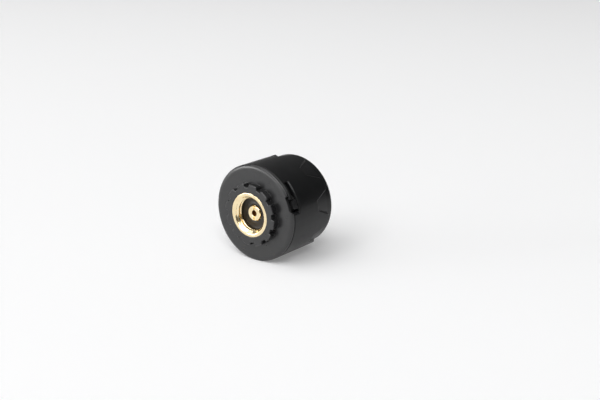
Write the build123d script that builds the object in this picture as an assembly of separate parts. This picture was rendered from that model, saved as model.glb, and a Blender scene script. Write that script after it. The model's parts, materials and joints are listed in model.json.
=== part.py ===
from build123d import *
from math import cos, degrees, radians, sin, tan
import os

# Screw-on tyre pressure sensor for a wheel valve, lying on its side, in millimetres.
# The valve axis lies along Y and the threaded mouth faces -Y, so depth grows along +Y.
# The origin is on that axis, in the plane of the flange's front face. +Z is up.
# Angles are in degrees about the axis, anticlockwise from +X as seen from the mouth.

# --- driving sizes: outer form ---
body_d = 21.0               # flange and cover diameter
body_length = 14.7          # flange front face to the cover's rear face
boss_height = 1.5           # toothed boss in front of the flange
boss_tip_d = 13.4           # over the wrench teeth
tooth_count = 12
tooth_depth = 0.7
tooth_gap = 0.95            # across a gap's floor
tooth_gap_flare = 0.25      # how much wider it is on each side at the tips
tooth_corner = 0.25
tooth_chamfer = 0.12
tooth_turn = 6.5            # angle of the first gap

flange_t = 0.55             # flange thickness at its rim
flange_round = 0.9          # radial reach of the flange's rounded front edge
seam_gap = 0.10             # between the flange and the turning cover

# --- driving sizes: valve port ---
thread_minor_d = 6.94       # 5/16-32 valve thread, minor diameter
countersink_d = 8.2
insert_d = 9.62
insert_hex_af = 10.6        # hexagonal anchor of the moulded-in insert, across flats
insert_hex_t = 1.1
thread_relief_d = 7.8       # undercut that holds the rubber seal
thread_end = 0.05           # depth at which the thread runs into the undercut
seal_front = 0.40
seal_t = 1.10
pin_tip = 0.08              # depth of the core pin's face
pin_head_d = 3.36
pin_hole_d = 1.28
pin_hole_depth = 0.9
pin_slot = 0.36             # air slot across the pin's face, width
pin_slot_depth = 0.25
pin_shank_d = 2.0
air_passage_d = 0.7
port_floor_t = 1.2          # brass floor between the seal and the cavity
filter_d = 3.2
filter_t = 0.3

# --- driving sizes: base cup ---
cup_wall_t = 0.9            # round the coin cell
board_ledge_t = 0.5         # that the cell carrier sits on, round the circuit board
spigot_gap = 2.0            # from the cup's open rear rim to the cover's end wall
cover_clearance = 0.08      # radial running clearance between cup and cover
o_ring_section = 0.80
o_ring_depth = 3.9          # depth of the ring's centre
o_ring_clearance = 0.05

# --- driving sizes: bayonet ---
station_count = 3
lug_start = 14.5
lug_end = 25.6
lug_sink = 0.30             # radial, from the cover's outside down to the lugs
lug_front = 1.50
lug_t = 1.05
lug_bevel = 0.25            # radial reach of the bevel on a lug's front outer edge
lug_bevel_run = 0.42        # its length along the axis
lug_split = 0.8             # degrees between a lug and the ramp above it
ramp_drop = 0.08            # from the lug's outside to the ramp's top
ramp_end = 37.5             # where the ramp meets the cup's wall
slot_clearance = 0.10       # along the axis, on each side of a lug
window_start = 10.5
gate_end = 26.8             # the window is open to the front from its start to here
window_end = 48.0
window_bevel = 0.25
window_end_bevel = 0.45     # on the window's lower end
flange_notch_start = 13.4
flange_notch_end = 31.3
flange_notch_depth = 0.65
flange_notch_slope = 3.4    # degrees that the notch's lower end slopes over

# --- driving sizes: cover ---
cover_wall_t = 1.32
cover_chamfer = 0.30
cover_end_t = 1.3
grip_count = 8
grip_turn = 8.5             # angle of the first recess's centre
grip_length = 6.3           # from the recesses' front walls to the rear face
grip_front_depth = 0.30
grip_depth = 0.55
tongue_tip_gap = 2.1        # from a tongue's tip to the rear face
tongue_root_half = 14.5     # half angle of a tongue at its root
tongue_tip_half = 5.5
tongue_corner = 0.6         # rounding of a tongue's tip
grip_corner = 0.6           # rounding of a recess beside a tongue's root
tongue_slope = 34.0         # of a tongue's flanks
rear_round = 1.0
pad_margin = 2.68           # from the pad to the cover's bore
pad_t = 0.8
pad_gap = 0.3               # between the pad and the coin cell

# --- driving sizes: electronics ---
gasket_d = 4.8
gasket_hole_d = 2.0
sensor_side = 7.0
sensor_hole_d = 1.2
board_clearance = 0.2       # radial, between the board and the cup
post_d = 2.2
post_gap = 0.3              # between a screw post and the cup
screw_d = 1.2
screw_reach = 2.0           # into the post
screw_head_d = 2.3
screw_head_t = 0.55
screw_clearance = 0.05
chip_side = 4.0
chip_t = 0.9
crystal_l = 3.2
crystal_w = 2.5
crystal_t = 0.8
capacitor_l = 1.6
capacitor_w = 0.8
inductor_l = 2.0
inductor_w = 1.25
inductor_t = 1.0
antenna_inset = 0.35        # from the board's edge
antenna_w = 0.5
antenna_t = 0.3
antenna_rise = 0.7
antenna_sweep = 116.0
# Centres of the components, as ratios of the board's radius.
radio_chip_ratio = (-0.13, 0.08)
crystal_ratio = (0.45, 0.42)
capacitor_ratios = [(-0.61, 0.32), (-0.61, -0.05), (-0.48, -0.45), (0.32, -0.08), (0.12, -0.59)]
inductor_ratios = [(-0.12, -0.37), (0.41, -0.40)]

# --- driving sizes: how the parts share the length between the port's floor and the pad ---
gasket_ratio = 6 / 96
sensor_ratio = 20 / 96
board_ratio = 8 / 96
component_ratio = 15 / 96   # space between the board and the cell carrier
carrier_ratio = 9 / 96
spring_ratio = 6 / 96       # height of the negative contact
cell_ratio = 32 / 96

# --- driving sizes: coin cell and its contacts ---
carrier_clearance = 0.1
cell_clearance = 0.2        # radial, in its bay
cell_rim_w = 1.3            # from the cap to the can's outside
cell_cap_t = 0.6
cell_cap_step = 0.3         # height of the cap above the crimped rim
cell_gasket_w = 0.4
spring_t = 0.2
spring_w = 2.0
spring_span = 7.0
side_contact_w = 2.4
side_contact_t = 0.2
side_contact_bow = 0.22
side_slot_w = 3.0
side_slot_depth = 0.65      # radial, behind the coin cell bay's wall
side_foot = 1.4

# --- derived sizes ---
body_r = body_d / 2
mouth = -boss_height
boss_tip_r = boss_tip_d / 2
boss_root_r = boss_tip_r - tooth_depth
insert_r = insert_d / 2
thread_r = thread_minor_d / 2
countersink_r = countersink_d / 2
relief_r = thread_relief_d / 2
port_floor = seal_front + seal_t
plate_back = port_floor + port_floor_t
cover_bore_r = body_r - cover_wall_t
spigot_r = cover_bore_r - cover_clearance
cell_bay_r = spigot_r - cup_wall_t
cavity_r = cell_bay_r - board_ledge_t
cover_front = flange_t + seam_gap
lug_r = body_r - lug_sink
lug_back = lug_front + lug_t
slot_front = lug_front - slot_clearance
slot_back = lug_back + slot_clearance
pad_back = body_length - cover_end_t
spigot_end = pad_back - spigot_gap
grip_front = body_length - grip_length
tongue_tip = body_length - tongue_tip_gap
stack = pad_back - pad_t - pad_gap - plate_back
sensor_front = plate_back + stack * gasket_ratio
sensor_t = stack * sensor_ratio
board_front = sensor_front + sensor_t
board_t = stack * board_ratio
board_back = board_front + board_t
board_r = cavity_r - board_clearance
post_radius = cavity_r - post_gap - post_d / 2
antenna_r = board_r - antenna_inset
carrier_front = board_back + stack * component_ratio
carrier_t = stack * carrier_ratio
carrier_back = carrier_front + carrier_t
cell_front = carrier_back + stack * spring_ratio
cell_back = cell_front + stack * cell_ratio
cell_r = cell_bay_r - cell_clearance
cell_cap_r = cell_r - cell_rim_w
screw_r = screw_d / 2
screw_hole_r = screw_r + screw_clearance
o_ring_r = spigot_r + o_ring_clearance - o_ring_section / 2
post_angles = (90.0, 270.0)
side_contact_angle = 0.0

# The valve axis points out of the mouth, so a positive turn is anticlockwise as seen from there.
VALVE = Axis((0, 0, 0), (0, -1, 0))


def facing_front(depth):
    """Plane across the axis at a depth, with X to the right and Z up as seen from the mouth."""
    return Plane(origin=(0, depth, 0), x_dir=(1, 0, 0), z_dir=(0, -1, 0))


def turned(outline):
    """Body of revolution from (radius, depth) points."""
    return revolve(make_face(Polyline(*outline, close=True)), VALVE)


def ring(inner, outer, front, back):
    """Plain ring or disc between two depths."""
    return turned([(inner, front), (outer, front), (outer, back), (inner, back)])


def segment(outline, start, end):
    """Part of a turned body, from one angle to another."""
    face = make_face(Polyline(*outline, close=True))
    return revolve(face, VALVE, end - start).rotate(VALVE, start)


def around(shape, count):
    """Copies of a shape evenly spaced about the axis."""
    return [shape.rotate(VALVE, 360 / count * i) for i in range(count)]


def at_angle(shape, angle):
    return shape.rotate(VALVE, angle)


def rod(radius, front, back, centre=(0, 0)):
    """Round bar along the axis, centred at (x, z)."""
    across = Location((centre[0], centre[1], 0))
    return extrude(facing_front(back) * across * Circle(radius), back - front)


def chip(size, centre, front):
    """Rectangular component of (x, z, height) lying on a face at a depth."""
    across = Location((centre[0], centre[1], 0))
    outline = Rectangle(size[0], size[1])
    return extrude(facing_front(front + size[2]) * across * outline, size[2])


def polar(radius, angle):
    """The (x, z) place at a radius and an angle."""
    return radius * cos(radians(angle)), radius * sin(radians(angle))


def post_centres():
    return [polar(post_radius, angle) for angle in post_angles]


# --- base housing ---
def toothed_boss():
    """Wrench boss with evenly spaced gaps that widen outwards, rooted inside the flange."""
    half = tooth_gap / 2
    beyond = tooth_depth
    wide = half + tooth_gap_flare * (tooth_depth + beyond) / tooth_depth
    gap = make_face(Polyline((boss_root_r, -half), (boss_tip_r + beyond, -wide),
                             (boss_tip_r + beyond, wide), (boss_root_r, half), close=True))
    gaps = [Rot(0, 0, tooth_turn + 360 / tooth_count * i) * gap for i in range(tooth_count)]
    outline = Circle(boss_tip_r) - gaps
    outline = fillet(outline.vertices(), tooth_corner)
    boss = extrude(facing_front(flange_t) * outline, flange_t + boss_height)
    return chamfer(boss.faces().sort_by(Axis.Y)[0].edges(), tooth_chamfer)


def flange_and_cup():
    """Flange with a rounded front edge, its cup wall, the board's cavity and the cell's bay."""
    rim_start = body_r - flange_round
    rim_straight = flange_t / 5
    round_depth = flange_t - rim_straight
    edge = EllipticalCenterArc((rim_start, round_depth), flange_round, round_depth, 270, arc_size=90)
    outline = edge + Polyline(
        (body_r, round_depth), (body_r, flange_t), (spigot_r, flange_t), (spigot_r, spigot_end),
        (cell_bay_r, spigot_end), (cell_bay_r, carrier_front), (cavity_r, carrier_front),
        (cavity_r, plate_back), (0, plate_back), (0, 0), (rim_start, 0))
    return revolve(make_face(outline), VALVE)


def bayonet_lug():
    """Lug with a bevelled front edge, and the ramp that climbs towards it from the cup's wall."""
    root = spigot_r - lug_bevel
    lug = segment([(root, lug_front), (lug_r - lug_bevel, lug_front), (lug_r, lug_front + lug_bevel_run),
                   (lug_r, lug_back), (root, lug_back)], lug_start, lug_end)
    top = lug_end + lug_split
    slope = make_face(Polyline(polar(root, top), polar(lug_r - ramp_drop, top), polar(spigot_r, ramp_end),
                               polar(root, ramp_end), close=True))
    return lug + extrude(facing_front(lug_back) * slope, lug_t)


def end_slope(floor_r, start, angle, front, back):
    """Wedge that cuts a slope outwards from a recess's floor at one angle to the outside at another."""
    foot = Vector(*polar(floor_r, start))
    rim = Vector(*polar(body_r, start - angle))
    beyond = foot + (rim - foot) * 3
    wedge = make_face(Polyline(foot, beyond, polar(2 * body_r, start + 1), polar(floor_r, start + 1),
                               close=True))
    return extrude(facing_front(back) * wedge, back - front)


def flange_notch():
    """Notch in the flange's rim in front of the first lug, with a sloping lower end."""
    back = flange_t + seam_gap / 2
    floor_r = body_r - flange_notch_depth
    outer = body_r + 1
    notch = segment([(floor_r, -1), (outer, -1), (outer, back), (floor_r, back)],
                    flange_notch_start, flange_notch_end)
    return notch + end_slope(floor_r, flange_notch_start, flange_notch_slope, -1, back)


def o_ring_groove():
    half = o_ring_section / 2 + o_ring_clearance
    return ring(o_ring_r - o_ring_section / 2, spigot_r + 1, o_ring_depth - half, o_ring_depth + half)


def insert_blank(grow=0.0):
    """Outside of the brass insert: a round barrel with a hexagonal anchor."""
    barrel = ring(0, insert_r, mouth - grow, plate_back)
    anchor = extrude(facing_front(plate_back) * RegularPolygon(insert_hex_af / 2, 6, major_radius=False),
                     insert_hex_t)
    return barrel + anchor


def side_contact_slot():
    """Slot in the cup's inner wall for the cell's side contact, open at the rear."""
    outer = cell_bay_r + side_slot_depth
    height = spigot_end + 1 - board_front
    slot = Box(outer, height, side_slot_w, align=(Align.MIN, Align.MIN, Align.CENTER))
    return at_angle(Pos(0, board_front, 0) * slot, side_contact_angle)


def make_base_housing():
    body = flange_and_cup() + toothed_boss() + around(bayonet_lug(), station_count)
    for centre in post_centres():
        body += rod(post_d / 2, plate_back - flange_t, board_front, centre)
    body -= insert_blank(grow=1.0)
    body -= flange_notch()
    body -= o_ring_groove()
    body -= side_contact_slot()
    for centre in post_centres():
        body -= rod(screw_r, board_front - screw_reach, board_front + 1, centre)
    return body


# --- valve port ---
def make_thread_insert():
    lead = countersink_r - thread_r
    bore = turned([(0, mouth - 1), (countersink_r + 1, mouth - 1), (countersink_r, mouth),
                   (thread_r, mouth + lead), (thread_r, thread_end), (relief_r, thread_end),
                   (relief_r, port_floor), (0, port_floor)])
    seat = rod(filter_d / 2, plate_back - filter_t, plate_back + 1)
    passage = rod(pin_shank_d / 2, port_floor - 1, plate_back)
    return insert_blank() - bore - seat - passage


def make_core_pin():
    """Pin that presses the valve core open, with an air hole and a slot across its face."""
    shank_end = plate_back - filter_t
    pin = rod(pin_head_d / 2, pin_tip, port_floor) + rod(pin_shank_d / 2, port_floor - 0.1, shank_end)
    pin -= rod(pin_hole_d / 2, pin_tip - 1, pin_tip + pin_hole_depth)
    pin -= rod(air_passage_d / 2, pin_tip, shank_end + 1)
    slot = Box(pin_slot, 2 * pin_slot_depth, pin_head_d + 1)
    return pin - Pos(0, pin_tip, 0) * slot


def make_valve_seal():
    clear = screw_clearance
    return ring(pin_head_d / 2 + clear, relief_r - clear, seal_front, port_floor)


def make_port_filter():
    return rod(filter_d / 2, plate_back - filter_t, plate_back)


def make_port_gasket():
    return ring(gasket_hole_d / 2, gasket_d / 2, plate_back, sensor_front)


def make_housing_o_ring():
    section = Pos(o_ring_r, o_ring_depth) * RegularPolygon(o_ring_section / 2, 12)
    return revolve(section, VALVE)


# --- electronics ---
def on_board(place):
    """The (x, z) of a place given as ratios of the board's radius."""
    return board_r * place[0], board_r * place[1]


def make_circuit_board():
    board = rod(board_r, board_front, board_back)
    for centre in post_centres():
        board -= rod(screw_hole_r, board_front - 1, board_back + 1, centre)
    return board


def make_pressure_sensor():
    package = chip((sensor_side, sensor_side, sensor_t), (0, 0), sensor_front)
    return package - rod(sensor_hole_d / 2, sensor_front - 1, sensor_front + sensor_t / 2)


def make_radio_chip():
    return chip((chip_side, chip_side, chip_t), on_board(radio_chip_ratio), board_back)


def make_crystal():
    return chip((crystal_l, crystal_w, crystal_t), on_board(crystal_ratio), board_back)


def make_capacitors():
    size = (capacitor_l, capacitor_w, capacitor_w)
    return Part() + [chip(size, on_board(place), board_back) for place in capacitor_ratios]


def make_inductors():
    size = (inductor_l, inductor_w, inductor_t)
    return Part() + [chip(size, on_board(place), board_back) for place in inductor_ratios]


def make_antenna_loop():
    """Formed strip over the board's edge, with a leg at each end."""
    level = board_back + antenna_rise
    inner = antenna_r - antenna_w
    start = 180 - antenna_sweep / 2
    strip = segment([(inner, level), (antenna_r, level), (antenna_r, level + antenna_t),
                     (inner, level + antenna_t)], start, start + antenna_sweep)
    leg = Pos(antenna_r - antenna_w / 2, board_back, 0) * Box(
        antenna_w, antenna_rise + antenna_t, antenna_w, align=(Align.CENTER, Align.MIN, Align.CENTER))
    return strip + at_angle(leg, start) + at_angle(leg, start + antenna_sweep)


# --- coin cell and its contacts ---
def make_battery_carrier():
    """Disc that the cell rests over, with a spacer leg at each screw and a notch for the side contact."""
    disc = rod(cell_bay_r - carrier_clearance, carrier_front, carrier_back)
    for centre in post_centres():
        disc += rod(post_d / 2, board_back, carrier_front, centre)
    for centre in post_centres():
        disc -= rod(screw_hole_r, board_back - 1, carrier_back + 1, centre)
        disc -= rod(screw_head_d / 2 + screw_clearance, carrier_back - screw_head_t - screw_clearance,
                    carrier_back + 1, centre)
    notch = Box(3 * side_contact_t, 2 * carrier_t, side_slot_w)
    return disc - at_angle(Pos(cell_bay_r, carrier_back - carrier_t / 2, 0) * notch, side_contact_angle)


def make_carrier_screws():
    head_front = carrier_back - screw_head_t - screw_clearance
    tip = board_front - screw_reach
    screws = []
    for centre in post_centres():
        shank = rod(screw_r, tip, head_front, centre)
        head = rod(screw_head_d / 2, head_front, head_front + screw_head_t, centre)
        screws.append(shank + head)
    return Part() + screws


def make_negative_contact():
    """Arched leaf spring under the cell's cap, on a flat base strip."""
    half = spring_span / 2
    base_top = carrier_back + spring_t
    arch = ThreePointArc((-half, base_top), (0, cell_front), (half, base_top))
    under = ThreePointArc((half - spring_t, base_top), (0, cell_front - spring_t),
                          (spring_t - half, base_top))
    outline = arch + Line((half, base_top), (half - spring_t, base_top)) + under
    outline += Line((spring_t - half, base_top), (-half, base_top))
    leaf = extrude(make_face(outline), spring_w / 2, both=True)
    base = Pos(0, carrier_back, 0) * Box(spring_span, spring_t, spring_w,
                                         align=(Align.CENTER, Align.MIN, Align.CENTER))
    return leaf + base


def make_positive_contact():
    """Bowed leaf beside the cell, with a foot soldered to the board."""
    inner = cell_r + 0.02
    root = inner + side_contact_bow
    top = spigot_end - 0.2
    middle = (cell_front + top) / 2
    bowed = [ThreePointArc((root, carrier_back), (inner, middle), (root, top)),
             Line((root, top), (root + side_contact_t, top)),
             ThreePointArc((root + side_contact_t, top), (inner + side_contact_t, middle),
                           (root + side_contact_t, carrier_back)),
             Line((root + side_contact_t, carrier_back), (root, carrier_back))]
    leaf = make_face(bowed)
    stem = make_face(Polyline((root, board_back), (root + side_contact_t, board_back),
                              (root + side_contact_t, carrier_back), (root, carrier_back), close=True))
    foot_end = board_r - side_foot
    foot = make_face(Polyline((foot_end, board_back), (root + side_contact_t, board_back),
                              (root + side_contact_t, board_back + side_contact_t),
                              (foot_end, board_back + side_contact_t), close=True))
    strip = extrude(leaf + stem + foot, side_contact_w / 2, both=True)
    return at_angle(strip, side_contact_angle)


def make_cell_can():
    """Positive can with its contents, crimped round the gasket and cap, with bevelled rims."""
    rim_front = cell_front + cell_cap_step
    mouth_r = cell_cap_r + cell_gasket_w
    bevel = cell_cap_step
    floor = cell_front + 2 * cell_cap_t
    return turned([(0, cell_back), (cell_r - bevel, cell_back), (cell_r, cell_back - bevel),
                   (cell_r, rim_front + bevel), (cell_r - bevel, rim_front), (mouth_r, rim_front),
                   (mouth_r, floor), (0, floor)])


def make_cell_gasket():
    outer = cell_cap_r + cell_gasket_w
    return ring(cell_cap_r, outer, cell_front + cell_cap_step, cell_front + 2 * cell_cap_t)


def make_cell_cap():
    cap = rod(cell_cap_r, cell_front, cell_front + 2 * cell_cap_t)
    return chamfer(cap.edges().sort_by(Axis.Y)[0], cell_cap_step * 0.8)


# --- rear cover ---
def cover_shell():
    """Cup with a bevelled front edge."""
    outline = [(cover_bore_r, cover_front), (body_r - cover_chamfer, cover_front),
               (body_r, cover_front + cover_chamfer), (body_r, body_length), (0, body_length),
               (0, pad_back), (cover_bore_r, pad_back)]
    return turned(outline)


def bayonet_window():
    """Window for a lug and its ramp through the cover's wall, open to the front over part of its length."""
    inner = cover_bore_r - 0.5
    outer = body_r + 0.5
    before = cover_front - 1
    lip = [(outer, slot_back + window_bevel + 0.5), (body_r - window_bevel, slot_back), (inner, slot_back)]
    gate = segment([(inner, before), (outer, before)] + lip, window_start, gate_end)
    slot = segment([(inner, slot_front), (outer, slot_front)] + lip, gate_end - 1, window_end)
    slope_angle = degrees(window_end_bevel / body_r)
    slope = end_slope(body_r - window_end_bevel, window_start, slope_angle, before, slot_back)
    return gate + slot + slope


def grip_tongue():
    """Tapered raised tongue with sloping flanks, widened into the plain wall in front of it."""
    foot = body_r - grip_depth
    foot_grow = grip_depth * tan(radians(tongue_slope))
    root = body_r * sin(radians(tongue_root_half)) + foot_grow
    tip = body_r * sin(radians(tongue_tip_half)) + foot_grow
    front = grip_front + foot_grow
    end = tongue_tip + foot_grow
    half_pitch = body_r * sin(radians(180 / grip_count)) * 1.2
    outline = make_face(Polyline((front - 2, -half_pitch), (front, -half_pitch), (front, -root),
                                 (end, -tip), (end, tip), (front, root), (front, half_pitch),
                                 (front - 2, half_pitch), close=True))
    roots = outline.vertices().filter_by(
        lambda v: abs(v.X - front) < 0.001 and abs(abs(v.Y) - root) < 0.001)
    outline = fillet(roots, grip_corner - foot_grow / 2)
    tips = outline.vertices().filter_by(lambda v: abs(v.X - end) < 0.001)
    outline = fillet(tips, tongue_corner + foot_grow)
    side = Plane(origin=(foot, 0, 0), x_dir=(0, 1, 0), z_dir=(1, 0, 0))
    return extrude(side * outline, 2 * grip_depth, taper=tongue_slope) + extrude(side * outline, -body_r / 2)


def grip_cut():
    """What the grip recesses and the rounded rear edge take away from the cover's wall."""
    floor_front = body_r - grip_front_depth
    floor_back = body_r - grip_depth
    outer = body_r + 1
    beyond = body_length + 1
    profile = [Polyline((floor_back, body_length - rear_round), (floor_back, tongue_tip),
                        (floor_front, grip_front - 0.5), (outer, grip_front - 0.5), (outer, beyond),
                        (floor_back - rear_round, beyond), (floor_back - rear_round, body_length)),
               RadiusArc((floor_back - rear_round, body_length), (floor_back, body_length - rear_round),
                         rear_round)]
    cut = revolve(make_face(profile), VALVE)
    tongues = around(grip_tongue(), grip_count)
    return at_angle(cut - tongues, grip_turn + 180 / grip_count)


def make_rear_cover():
    return cover_shell() - around(bayonet_window(), station_count) - grip_cut()


def make_cover_pad():
    return rod(cover_bore_r - pad_margin, pad_back - pad_t, pad_back)


NODES = {
    "base_housing": make_base_housing,
    "thread_insert": make_thread_insert,
    "valve_seal": make_valve_seal,
    "core_pin": make_core_pin,
    "port_filter": make_port_filter,
    "port_gasket": make_port_gasket,
    "housing_o_ring": make_housing_o_ring,
    "pressure_sensor": make_pressure_sensor,
    "circuit_board": make_circuit_board,
    "radio_chip": make_radio_chip,
    "crystal": make_crystal,
    "capacitors": make_capacitors,
    "inductors": make_inductors,
    "antenna_loop": make_antenna_loop,
    "battery_carrier": make_battery_carrier,
    "carrier_screws": make_carrier_screws,
    "negative_contact": make_negative_contact,
    "positive_contact": make_positive_contact,
    "cell_can": make_cell_can,
    "cell_gasket": make_cell_gasket,
    "cell_cap": make_cell_cap,
    "rear_cover": make_rear_cover,
    "cover_pad": make_cover_pad,
}

os.makedirs("parts", exist_ok=True)
for name, make in NODES.items():
    export_step(make(), f"parts/{name}.step")
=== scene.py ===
import json
import math

import bmesh
import bpy
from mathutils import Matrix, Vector


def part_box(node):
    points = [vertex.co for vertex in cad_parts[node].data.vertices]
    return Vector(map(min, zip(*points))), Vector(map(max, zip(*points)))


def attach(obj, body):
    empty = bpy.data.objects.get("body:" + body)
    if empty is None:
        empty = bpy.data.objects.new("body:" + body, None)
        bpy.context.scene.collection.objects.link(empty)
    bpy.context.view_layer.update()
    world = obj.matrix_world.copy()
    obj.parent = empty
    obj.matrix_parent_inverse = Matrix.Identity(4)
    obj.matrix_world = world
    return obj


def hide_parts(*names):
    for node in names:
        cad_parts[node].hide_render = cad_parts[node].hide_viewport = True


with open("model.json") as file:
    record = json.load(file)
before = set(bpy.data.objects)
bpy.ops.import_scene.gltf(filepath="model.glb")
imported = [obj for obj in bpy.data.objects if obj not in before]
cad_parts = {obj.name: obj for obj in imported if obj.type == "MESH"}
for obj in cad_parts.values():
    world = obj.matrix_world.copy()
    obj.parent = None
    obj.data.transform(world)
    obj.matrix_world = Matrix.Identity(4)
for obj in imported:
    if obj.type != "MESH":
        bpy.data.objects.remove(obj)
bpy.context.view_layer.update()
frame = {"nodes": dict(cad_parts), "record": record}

# Lengths are in millimetres unless their name says metres, and MM turns them to Blender's metres.
MM = 0.001

# --- camera: where it stands and how long its lens is, found by fitting the object's outlines ---
CAMERA_PLACE = (129.01, -147.08, 64.23)
VIEW_DIRECTION = (-0.59280, 0.74776, -0.29907)
SENSOR_WIDTH = 36.0
LENS = 58.62
CLIP_METRES = (0.01, 20.0)


def add_camera():
    data = bpy.data.cameras.new("camera")
    data.sensor_width = SENSOR_WIDTH
    data.lens = LENS
    data.clip_start, data.clip_end = CLIP_METRES
    camera = bpy.data.objects.new("camera", data)
    camera.location = [c * MM for c in CAMERA_PLACE]
    camera.rotation_euler = Vector(VIEW_DIRECTION).to_track_quat("-Z", "Y").to_euler()
    bpy.context.scene.collection.objects.link(camera)
    bpy.context.scene.camera = camera


# --- node helpers ---
NOISE_MIDDLE = (0.3, 0.7)  # the range that most of a noise's values lie in
EDGE_SAMPLES = 6
EDGE_TURN = (0.985, 0.80)  # cosine of the normal's turn where a face ends and an edge is sharp
RECESS_SAMPLES = 12
RECESS_VIEW = (0.52, 0.22)  # unblocked share of the view where a recess starts and is deep


def remap(tree, value, start, end, low=0.0, high=1.0, curve="LINEAR"):
    """The value taken from the range start to end over to the range low to high, and held there."""
    node = tree.nodes.new("ShaderNodeMapRange")
    node.interpolation_type = curve
    node.inputs["From Min"].default_value = start
    node.inputs["From Max"].default_value = end
    node.inputs["To Min"].default_value = low
    node.inputs["To Max"].default_value = high
    tree.links.new(value, node.inputs["Value"])
    return node.outputs["Result"]


class Nodes:
    """A material's node tree, with the few nodes that the finishes here share."""

    def __init__(self, name):
        self.material = bpy.data.materials.new(name)
        self.material.use_nodes = True
        self.tree = self.material.node_tree
        self.shader = self.tree.nodes["Principled BSDF"]
        coordinates = self.tree.nodes.new("ShaderNodeTexCoord")
        self.place = coordinates.outputs["Object"]

    def new(self, kind, **settings):
        node = self.tree.nodes.new(kind)
        for key, value in settings.items():
            setattr(node, key, value)
        return node

    def link(self, start, end):
        self.tree.links.new(start, end)

    def calculate(self, operation, *terms, clamp=False):
        """A Math node's result, from outputs and plain numbers."""
        node = self.new("ShaderNodeMath", operation=operation, use_clamp=clamp)
        for socket, term in zip(node.inputs, terms):
            if isinstance(term, (int, float)):
                socket.default_value = term
            else:
                self.link(term, socket)
        return node.outputs["Value"]

    def noise(self, size_mm, detail=2.0):
        """Noise whose grains are about size_mm across."""
        scale = self.new("ShaderNodeMapping")
        scale.inputs["Scale"].default_value = [1 / (size_mm * MM)] * 3
        self.link(self.place, scale.inputs["Vector"])
        noise = self.new("ShaderNodeTexNoise")
        noise.inputs["Scale"].default_value = 1.0
        noise.inputs["Detail"].default_value = detail
        self.link(scale.outputs["Vector"], noise.inputs["Vector"])
        return noise.outputs["Fac"]

    def spread(self, noise, low=0.0, high=1.0):
        """A noise stretched about its middle, so that it fills the range low to high."""
        return remap(self.tree, noise, *NOISE_MIDDLE, low, high)

    def mix(self, value, first, second):
        """A colour between two plain ones: the first where the value is 0."""
        mixed = self.new("ShaderNodeMix", data_type="RGBA")
        mixed.inputs["A"].default_value = (*first, 1)
        mixed.inputs["B"].default_value = (*second, 1)
        self.link(value, mixed.inputs["Factor"])
        return mixed.outputs["Result"]

    def blend(self, value, output, colour):
        """An output's colour, turned to a plain colour where the value is 1."""
        turned = self.new("ShaderNodeMix", data_type="RGBA")
        turned.inputs["B"].default_value = (*colour, 1)
        self.link(value, turned.inputs["Factor"])
        self.link(output, turned.inputs["A"])
        return turned.outputs["Result"]

    def bump(self, height, depth_mm, under=None):
        """Gives the shader a relief depth_mm deep, over the normals given as under."""
        bump = self.new("ShaderNodeBump")
        bump.inputs["Distance"].default_value = depth_mm * MM
        self.link(height, bump.inputs["Height"])
        if under is not None:
            self.link(under, bump.inputs["Normal"])
        self.link(bump.outputs["Normal"], self.shader.inputs["Normal"])

    def soft_edges(self, radius_mm):
        """Normals that look as if every sharp edge had a small radius."""
        bevel = self.new("ShaderNodeBevel", samples=EDGE_SAMPLES)
        bevel.inputs["Radius"].default_value = radius_mm * MM
        return bevel.outputs["Normal"]

    def edge_share(self, soft_normal):
        """1 on sharp edges and 0 on plain faces, from how far the softened normal turns."""
        plain = self.new("ShaderNodeNewGeometry")
        turn = self.new("ShaderNodeVectorMath", operation="DOT_PRODUCT")
        self.link(plain.outputs["Normal"], turn.inputs[0])
        self.link(soft_normal, turn.inputs[1])
        return remap(self.tree, turn.outputs["Value"], *EDGE_TURN)

    def recess_share(self, reach_mm):
        """1 deep in narrow recesses and 0 on open faces, from ambient occlusion: the mask of the
        painted shade in recesses.
        """
        shade = self.new("ShaderNodeAmbientOcclusion", samples=RECESS_SAMPLES)
        shade.inputs["Distance"].default_value = reach_mm * MM
        return remap(self.tree, shade.outputs["AO"], *RECESS_VIEW)

    def colour(self, output):
        self.link(output, self.shader.inputs["Base Color"])

    def rough(self, output):
        self.link(output, self.shader.inputs["Roughness"])

    def set(self, **sockets):
        """Sets the shader's sockets, whose names are written with underscores for spaces."""
        for name, value in sockets.items():
            self.shader.inputs[name.replace("_", " ")].default_value = value


# --- finishes ---
CLOUD_MM = 2.5  # moulded: size of its faint clouds of colour
SHEEN_PATCH_MM = 1.2  # moulded: size of its duller and shinier patches
SHEEN_SPREAD = 0.03  # moulded: how far those patches' roughness departs from the mean
RUBBED_SHINE = 0.14  # roughness that a rubbed edge has lost
RECESS_DULL = 0.50  # roughness that a recess has gained
PAINTED_RECESS_SHADE = 0.15  # painted shade: a recess's colour, as a share of the plain one

STAIN_MM = 1.5  # metal: size of its paler and darker patches
SMEAR_MM = 0.5  # metal: size of its duller and shinier patches
TOOL_MARK_MM = 0.15

BRASS_DARK, BRASS_LIGHT = (0.90, 0.73, 0.44), (0.97, 0.83, 0.55)
# painted shade: the dark brown deep inside the pin's hole
HOLE_SHADE_COLOUR = (0.22, 0.10, 0.03)
DRILLED_DULL = 0.45  # roughness that the drilled hole has over the polished brass
DRILLED_R = 0.70
DRILLED_FADE = (0.10, 0.24)  # depths between which the polish turns to the drilled hole's wall


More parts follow.
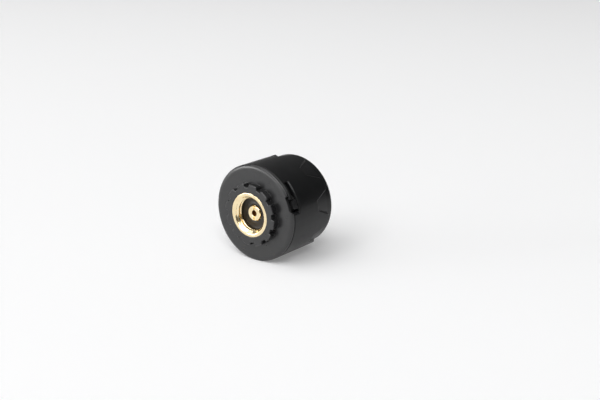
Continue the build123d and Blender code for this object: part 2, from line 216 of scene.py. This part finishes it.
def moulded(name, dark, light, rough, grain_mm=0.12, grain_depth_mm=0.004, specular=0.5,
            edge_mm=0.0, edge_wear_and_highlight=None, recess_mm=0.0):
    """Moulded plastic or rubber: a fine spark-eroded grain and faint cloudiness.

    With an edge colour, edge_mm and recess_mm together, its edges are rubbed shinier and painted
    lighter, part rubbed wear and part painted highlight, and its recesses are darkened with painted
    shade and made duller."""
    n = Nodes(name)
    n.set(Specular_IOR_Level=specular)
    colour = n.mix(n.spread(n.noise(CLOUD_MM)), dark, light)
    roughness = n.spread(n.noise(SHEEN_PATCH_MM, detail=4), rough - SHEEN_SPREAD,
                         rough + SHEEN_SPREAD)
    edges = n.soft_edges(edge_mm) if edge_mm else None
    if edge_wear_and_highlight:
        rubbed_and_highlit_edge = n.edge_share(edges)
        painted_shade_and_dull_recess = n.recess_share(recess_mm)
        # Painted highlight along with rubbed wear: sharp edges are turned to a lighter edge colour.
        colour = n.blend(rubbed_and_highlit_edge, colour, edge_wear_and_highlight)
        # Painted shade: recesses are darkened to a share of the plain colour, and are also made
        # duller.
        colour = n.blend(painted_shade_and_dull_recess, colour, [PAINTED_RECESS_SHADE * c for c in dark])
        roughness = n.calculate("MULTIPLY_ADD", rubbed_and_highlit_edge, -RUBBED_SHINE, roughness)
        roughness = n.calculate("MULTIPLY_ADD", painted_shade_and_dull_recess, RECESS_DULL, roughness)
    n.colour(colour)
    n.rough(roughness)
    n.bump(n.noise(grain_mm, detail=3), grain_depth_mm, under=edges)
    return n.material


def metal_outputs(n, dark, light, rough, rough_spread, mark_depth_mm):
    """Makes the shader a metal with faint tool marks, and returns its colour and roughness."""
    n.set(Metallic=1.0)
    n.bump(n.noise(TOOL_MARK_MM, detail=2), mark_depth_mm)
    colour = n.mix(n.spread(n.noise(STAIN_MM, detail=4)), dark, light)
    roughness = n.spread(n.noise(SMEAR_MM, detail=4), rough - rough_spread, rough + rough_spread)
    return colour, roughness


def metal(name, dark, light, rough):
    """Machined or plated metal."""
    n = Nodes(name)
    colour, roughness = metal_outputs(n, dark, light, rough, rough_spread=0.04,
                                      mark_depth_mm=0.0015)
    n.colour(colour)
    n.rough(roughness)
    return n.material


def brass(name):
    """Polished brass, left rough where the hole was drilled into the pin, and painted dark brown
    there as the shade deep in that hole.
    """
    n = Nodes(name)
    polished, roughness = metal_outputs(n, BRASS_DARK, BRASS_LIGHT, rough=0.14, rough_spread=0.03,
                                        mark_depth_mm=0.0012)
    place = n.new("ShaderNodeSeparateXYZ")
    n.link(n.place, place.inputs["Vector"])
    x, y, z = (place.outputs[axis] for axis in "XYZ")
    radius_squared = n.calculate("MULTIPLY_ADD", z, z, n.calculate("MULTIPLY", x, x))
    near_axis = n.calculate("LESS_THAN", radius_squared, (DRILLED_R * MM) ** 2)
    deep = remap(n.tree, y, *(depth * MM for depth in DRILLED_FADE))
    dull_and_shaded_hole = n.calculate("MULTIPLY", near_axis, deep)
    # Painted shade: the colour turns dark brown deeper in the hole, where the roughness also rises.
    n.colour(n.blend(dull_and_shaded_hole, polished, HOLE_SHADE_COLOUR))
    n.rough(n.calculate("MULTIPLY_ADD", dull_and_shaded_hole, DRILLED_DULL, roughness))
    return n.material


# Each material slot's finish: how it is made, its darkest and lightest colour, its roughness, and
# what departs from the maker's defaults. polished_brass has a maker of its own.
FINISHES = {
    # The lighter edge colours of the two plastics are part rubbed wear and part painted highlight.
    "housing_plastic": (moulded, (0.011, 0.0112, 0.0118), (0.015, 0.0152, 0.0158), 0.30,
                        dict(specular=0.62, edge_mm=0.10, edge_wear_and_highlight=(0.075, 0.075, 0.077),
                             recess_mm=1.3)),
    "cover_plastic": (moulded, (0.0065, 0.0068, 0.0073), (0.0095, 0.0098, 0.0103), 0.33,
                      dict(specular=0.26, edge_mm=0.20, edge_wear_and_highlight=(0.020, 0.020, 0.0205),
                           recess_mm=0.4)),
    "seal_rubber": (moulded, (0.019, 0.015, 0.010), (0.028, 0.022, 0.015), 0.36,
                    dict(specular=0.4, edge_mm=0.06, grain_mm=0.2)),
    "gasket_silicone": (moulded, (0.36, 0.10, 0.07), (0.44, 0.13, 0.10), 0.45, {}),
    "filter_ptfe": (moulded, (0.80, 0.80, 0.78), (0.90, 0.90, 0.88), 0.80, dict(grain_mm=0.06)),
    "board_laminate": (moulded, (0.012, 0.13, 0.05), (0.02, 0.19, 0.08), 0.28, dict(grain_mm=0.5)),
    "chip_epoxy": (moulded, (0.030, 0.030, 0.032), (0.042, 0.042, 0.045), 0.55,
                   dict(grain_mm=0.08)),
    "crystal_lid": (metal, (0.66, 0.65, 0.62), (0.78, 0.77, 0.74), 0.30, {}),
    "capacitor_ceramic": (moulded, (0.42, 0.30, 0.19), (0.55, 0.42, 0.28), 0.35, {}),
    "inductor_ferrite": (moulded, (0.10, 0.10, 0.11), (0.14, 0.14, 0.15), 0.60, {}),
    "copper_wire": (metal, (0.76, 0.38, 0.24), (0.90, 0.52, 0.36), 0.25, {}),
    "carrier_plastic": (moulded, (0.56, 0.55, 0.50), (0.66, 0.65, 0.60), 0.50, {}),
    "screw_steel": (metal, (0.56, 0.55, 0.53), (0.70, 0.69, 0.67), 0.32, {}),
    "contact_nickel": (metal, (0.72, 0.69, 0.62), (0.84, 0.81, 0.74), 0.28, {}),
    "cell_steel": (metal, (0.66, 0.66, 0.65), (0.78, 0.78, 0.77), 0.24, {}),
    "cell_polymer": (moulded, (0.24, 0.24, 0.24), (0.32, 0.32, 0.32), 0.55, {}),
    "pad_foam": (moulded, (0.13, 0.13, 0.14), (0.19, 0.19, 0.20), 0.90,
                 dict(grain_mm=0.3, grain_depth_mm=0.05)),
}


def make_finishes():
    """Every material slot's finish, by slot."""
    finishes = {slot: make(slot, dark, light, rough, **rest)
                for slot, (make, dark, light, rough, rest) in FINISHES.items()}
    finishes["polished_brass"] = brass("polished_brass")
    return finishes


def finish_cad_nodes(finishes):
    """Gives every CAD node its slot's finish."""
    for part in frame["record"]["subparts"]:
        node = frame["nodes"][part["node"]]
        node.data.materials.clear()
        node.data.materials.append(finishes[part["material_slot"]])


# --- detailed pieces that take a CAD node's place ---
# Depths run along +Y from the flange's face.
MOUTH = -1.5  # the bore's mouth
BORE_FLOOR = 1.5


def finished_mesh(name, mesh):
    data = bpy.data.meshes.new(name)
    mesh.to_mesh(data)
    mesh.free()
    return data


def swept_mesh(name, section, steps):
    """Mesh of a closed section carried round the valve's axis.

    section is a function that gives the (radius, depth) points at an angle."""
    mesh = bmesh.new()
    rings = []
    for i in range(steps):
        turn = math.tau * i / steps
        rings.append([mesh.verts.new((r * MM * math.cos(turn), d * MM, r * MM * math.sin(turn)))
                      for r, d in section(turn)])
    count = len(rings[0])
    for i in range(steps):
        here, there = rings[i], rings[(i + 1) % steps]
        for j in range(count):
            k = (j + 1) % count
            mesh.faces.new((here[j], here[k], there[k], there[j]))
    bmesh.ops.recalc_face_normals(mesh, faces=mesh.faces)
    return finished_mesh(name, mesh)


def add_piece(name, data, replaced, finish, smooth_angle):
    """Piece that rides on the base in place of a CAD node.

    Its edges are sharp where they turn by more than smooth_angle degrees."""
    piece = bpy.data.objects.new(name, data)
    bpy.context.scene.collection.objects.link(piece)
    data.materials.clear()
    data.materials.append(finish)
    data.shade_smooth()
    data.set_sharp_from_angle(angle=math.radians(smooth_angle))
    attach(piece, "base")
    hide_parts(replaced)


# --- brass thread insert ---
THREAD_PITCH = 25.4 / 32
THREAD_MINOR = 3.47
THREAD_MAJOR = 3.93
THREAD_SHARPNESS = 1.3  # above 1, the crests are wider than the roots
THREAD_END = 0.05  # depth at which the thread stops
THREAD_RUN_OUT = 0.02  # further depth in which the undercut behind it reaches its radius
RIM_R = 4.81
RIM_ROUND = 0.10
RIM_ROUND_MIDDLE = 0.3 * RIM_ROUND
SINK_R = 4.10  # the countersink at the mouth. It narrows at 45 degrees to the thread
SINK_ROUND = 0.04
UNDERCUT_R = 3.9  # the undercut that holds the seal
SHANK_HOLE_R = 1.0
ANCHOR_THICK = 1.1  # the hexagonal anchor
INSERT_STEPS = 216
WALL_STEPS = 72


def thread_radius(depth, turn):
    """Radius of the 5/16-32 thread at a depth and an angle, with rounded crests and roots."""
    phase = (depth / THREAD_PITCH + turn / math.tau) % 1.0
    share = (0.5 + 0.5 * math.cos(math.tau * phase)) ** THREAD_SHARPNESS
    return THREAD_MINOR + (THREAD_MAJOR - THREAD_MINOR) * share


def wall_radius(depth, turn):
    """Radius of the bore's wall: the countersink, then the thread."""
    sink_depth = SINK_R - THREAD_MINOR
    cone = SINK_R - sink_depth * min(1.0, (depth - MOUTH) / sink_depth)
    return max(cone, thread_radius(depth, turn))


def insert_section(turn):
    """The insert's section at one angle, from the rim's outside inwards to the hexagonal anchor."""
    low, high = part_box("thread_insert")
    back = high.y / MM
    sixth = math.tau / 6
    across_flats = (high.z - low.z) / MM
    hexagon = across_flats / 2 / math.cos((turn + sixth / 2) % sixth - sixth / 2)
    start = MOUTH + SINK_ROUND
    points = [(RIM_R, back - ANCHOR_THICK), (RIM_R, MOUTH + RIM_ROUND),
              (RIM_R - RIM_ROUND_MIDDLE, MOUTH + RIM_ROUND_MIDDLE), (RIM_R - RIM_ROUND, MOUTH),
              (SINK_R + SINK_ROUND, MOUTH), (SINK_R - SINK_ROUND / 2, start)]
    for i in range(1, WALL_STEPS + 1):
        depth = start + (THREAD_END - start) * i / WALL_STEPS
        points.append((wall_radius(depth, turn), depth))
    return points + [(UNDERCUT_R, THREAD_END + THREAD_RUN_OUT), (UNDERCUT_R, BORE_FLOOR),
                     (SHANK_HOLE_R, BORE_FLOOR), (SHANK_HOLE_R, back), (hexagon, back),
                     (hexagon, back - ANCHOR_THICK)]


def add_thread_insert(finish):
    data = swept_mesh("brass_thread", insert_section, INSERT_STEPS)
    add_piece("brass_thread", data, "thread_insert", finish, smooth_angle=60)


# --- core pin ---
PIN_HEAD_R = 1.68
PIN_SHANK_R = 1.00
PIN_CHAMFER = 0.14
PIN_HOLE_R = 0.64
PIN_HOLE_DEPTH = 0.9
PIN_HOLE_CONE = 0.25  # how deep the drill's cone is at the hole's end
PIN_HOLE_CHAMFER = 0.06
PIN_PASSAGE_R = 0.35
PIN_SLOT_WIDTH = 0.36
PIN_SLOT_DEPTH = 0.25
PIN_EDGE_WIDTH = 0.03
PIN_EDGE_ANGLE = 40
PIN_STEPS = 96


def slot_cutter(tip):
    """Block that cuts the slot straight across the pin's face."""
    mesh = bmesh.new()
    bmesh.ops.create_cube(mesh, size=1.0)
    block = (PIN_SLOT_WIDTH * MM, 2 * PIN_SLOT_DEPTH * MM, 3 * PIN_HEAD_R * MM)
    bmesh.ops.scale(mesh, vec=block, verts=mesh.verts)
    bmesh.ops.translate(mesh, vec=(0, tip * MM, 0), verts=mesh.verts)
    return bpy.data.objects.new("pin_slot", finished_mesh("pin_slot", mesh))


def add_core_pin(finish):
    """Pin with a chamfered head, a slot across its face and a deep air hole."""
    low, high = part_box("core_pin")
    tip, end = low.y / MM, high.y / MM
    hole_end = tip + PIN_HOLE_DEPTH
    section = [(PIN_PASSAGE_R, end), (PIN_PASSAGE_R, hole_end + PIN_HOLE_CONE),
               (PIN_HOLE_R, hole_end), (PIN_HOLE_R, tip + PIN_HOLE_CHAMFER),
               (PIN_HOLE_R + PIN_HOLE_CHAMFER, tip), (PIN_HEAD_R - PIN_CHAMFER, tip),
               (PIN_HEAD_R, tip + PIN_CHAMFER), (PIN_HEAD_R, BORE_FLOOR),
               (PIN_SHANK_R, BORE_FLOOR), (PIN_SHANK_R, end)]
    blank_data = swept_mesh("pin_blank", lambda turn: section, PIN_STEPS)
    pin = bpy.data.objects.new("pin_blank", blank_data)
    cutter = slot_cutter(tip)
    for blank in (pin, cutter):
        bpy.context.scene.collection.objects.link(blank)
    cut = pin.modifiers.new("slot", "BOOLEAN")
    cut.operation = "DIFFERENCE"
    cut.solver = "EXACT"
    cut.object = cutter
    soften = pin.modifiers.new("soften", "BEVEL")
    soften.width = PIN_EDGE_WIDTH * MM
    soften.segments = 2
    soften.limit_method = "ANGLE"
    soften.angle_limit = math.radians(PIN_EDGE_ANGLE)
    bpy.context.view_layer.update()
    evaluated = pin.evaluated_get(bpy.context.evaluated_depsgraph_get())
    data = bpy.data.meshes.new_from_object(evaluated)
    data.name = "brass_core_pin"
    for blank in (pin, cutter):
        bpy.data.objects.remove(blank)
    add_piece("brass_core_pin", data, "core_pin", finish, smooth_angle=35)


# --- valve seal and O-ring ---
SEAL_PIN_GAP = 0.05
# The seal's face as (in from its edge, back from its front): a rounded edge, then each side of
# the shallow dish between its edges.
SEAL_EDGE = [(0, 0.16), (0.05, 0.05), (0.16, 0)]
SEAL_DISH_INSIDE = [(0.45, 0.01), (0.62, 0.07)]
SEAL_DISH_OUTSIDE = [(0.55, 0.01), (0.75, 0.07)]
SEAL_STEPS = 128
O_RING_STEPS = 160
O_RING_SECTION_STEPS = 20


def add_valve_seal(finish):
    """Rubber washer round the pin with rounded edges and a shallow dish in its face."""
    low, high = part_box("valve_seal")
    front, back, outer = low.y / MM, high.y / MM, high.x / MM
    inner = PIN_HEAD_R + SEAL_PIN_GAP
    inner_half = [(inner + across, front + deep) for across, deep in SEAL_EDGE + SEAL_DISH_INSIDE]
    outer_half = [(outer - across, front + deep) for across, deep in SEAL_EDGE + SEAL_DISH_OUTSIDE]
    section = [(inner, back), *inner_half, *reversed(outer_half), (outer, back)]
    data = swept_mesh("rubber_valve_seal", lambda turn: section, SEAL_STEPS)
    add_piece("rubber_valve_seal", data, "valve_seal", finish, smooth_angle=50)


def add_o_ring(finish):
    """O-ring with a round section."""
    low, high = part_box("housing_o_ring")
    radius = (high.y - low.y) / 2 / MM
    middle = (high.y + low.y) / 2 / MM
    outer = high.x / MM
    angles = [math.tau * i / O_RING_SECTION_STEPS for i in range(O_RING_SECTION_STEPS)]
    section = [(outer - radius + radius * math.cos(angle), middle + radius * math.sin(angle))
               for angle in angles]
    data = swept_mesh("rubber_o_ring", lambda turn: section, O_RING_STEPS)
    add_piece("rubber_o_ring", data, "housing_o_ring", finish, smooth_angle=60)


# --- stage ---
FLOOR_HEIGHT = -10.5
FLOOR_REACH_METRES = 1.5
FLOOR_COLOUR = (0.805, 0.805, 0.81, 1)
FLOOR_GLOW = 0.207  # what is added to the lit floor where the camera or a reflection sees it
WHITE = (1, 1, 1, 1)
WORLD_BRIGHT, WORLD_DIM = 0.215, 0.050
WORLD_FADE = (0.10, 0.70)  # the direction's X at which the world starts and ends to dim
LAMP_DISTANCE = 2000
LAMP_AIM = (0, 7, 0)
# Square softboxes round the object: name, azimuth and elevation in degrees, side, watts.
SOFTBOXES = (
    ("floor_left_front", 200, 5, 700, 3.74),
    ("floor_front_left", 225, 5, 700, 14.84),
    ("floor_front_near_left", 250, 5, 700, 5.71),
    ("middle_front_right", 314, 42, 600, 9.20),
    ("middle_front", 270, 36, 700, 6.30),
    ("raised_left_front", 200, 50, 1000, 4.16),
    ("raised_front_near_left", 250, 50, 1000, 7.40),
    ("raised_front_centre", 295, 52, 1000, 6.66),
    ("high_back_left", 135, 70, 1200, 1.34),
    ("high_front_left", 225, 70, 1200, 4.63),
)


def add_floor():
    """Pale floor that takes the object's shadow, almost white to the camera and in reflections."""
    data = bpy.data.meshes.new("floor")
    reach, height = FLOOR_REACH_METRES, FLOOR_HEIGHT * MM
    corners = [(-reach, -reach, height), (reach, -reach, height), (reach, reach, height),
               (-reach, reach, height)]
    data.from_pydata(corners, [], [(0, 1, 2, 3)])
    floor = bpy.data.objects.new("floor", data)
    bpy.context.scene.collection.objects.link(floor)
    n = Nodes("floor")
    n.set(Base_Color=FLOOR_COLOUR, Roughness=0.9, Specular_IOR_Level=0.1, Emission_Color=WHITE)
    ray = n.new("ShaderNodeLightPath").outputs
    seen = n.calculate("ADD", ray["Is Camera Ray"], ray["Is Glossy Ray"])
    seen = n.calculate("ADD", seen, ray["Is Transmission Ray"], clamp=True)
    glow = n.calculate("MULTIPLY", seen, FLOOR_GLOW)
    n.link(glow, n.shader.inputs["Emission Strength"])
    data.materials.append(n.material)


def add_world():
    """Soft light from all round, weaker from the studio's dark side, which is +X."""
    world = bpy.data.worlds.new("world")
    bpy.context.scene.world = world
    world.use_nodes = True
    tree = world.node_tree
    direction = tree.nodes.new("ShaderNodeTexCoord")
    axes = tree.nodes.new("ShaderNodeSeparateXYZ")
    tree.links.new(direction.outputs["Generated"], axes.inputs["Vector"])
    strength = remap(tree, axes.outputs["X"], *WORLD_FADE, WORLD_BRIGHT, WORLD_DIM,
                     curve="SMOOTHSTEP")
    background = tree.nodes["Background"]
    background.inputs["Color"].default_value = WHITE
    tree.links.new(strength, background.inputs["Strength"])


def add_softbox(name, azimuth, elevation, side, watts):
    """Square lamp that points at the object from LAMP_DISTANCE away."""
    data = bpy.data.lights.new(name, "AREA")
    data.shape = "SQUARE"
    data.size = side * MM
    data.energy = watts
    lamp = bpy.data.objects.new(name, data)
    round_z, up = math.radians(azimuth), math.radians(elevation)
    away = Vector((math.cos(up) * math.cos(round_z), math.cos(up) * math.sin(round_z),
                   math.sin(up)))
    lamp.location = (Vector(LAMP_AIM) + LAMP_DISTANCE * away) * MM
    lamp.rotation_euler = away.to_track_quat("Z", "Y").to_euler()
    bpy.context.scene.collection.objects.link(lamp)


add_camera()
add_world()
add_floor()
for softbox in SOFTBOXES:
    add_softbox(*softbox)
finishes = make_finishes()
finish_cad_nodes(finishes)
add_thread_insert(finishes["polished_brass"])
add_core_pin(finishes["polished_brass"])
add_valve_seal(finishes["seal_rubber"])
add_o_ring(finishes["seal_rubber"])

bpy.context.scene.view_settings.view_transform = "Standard"
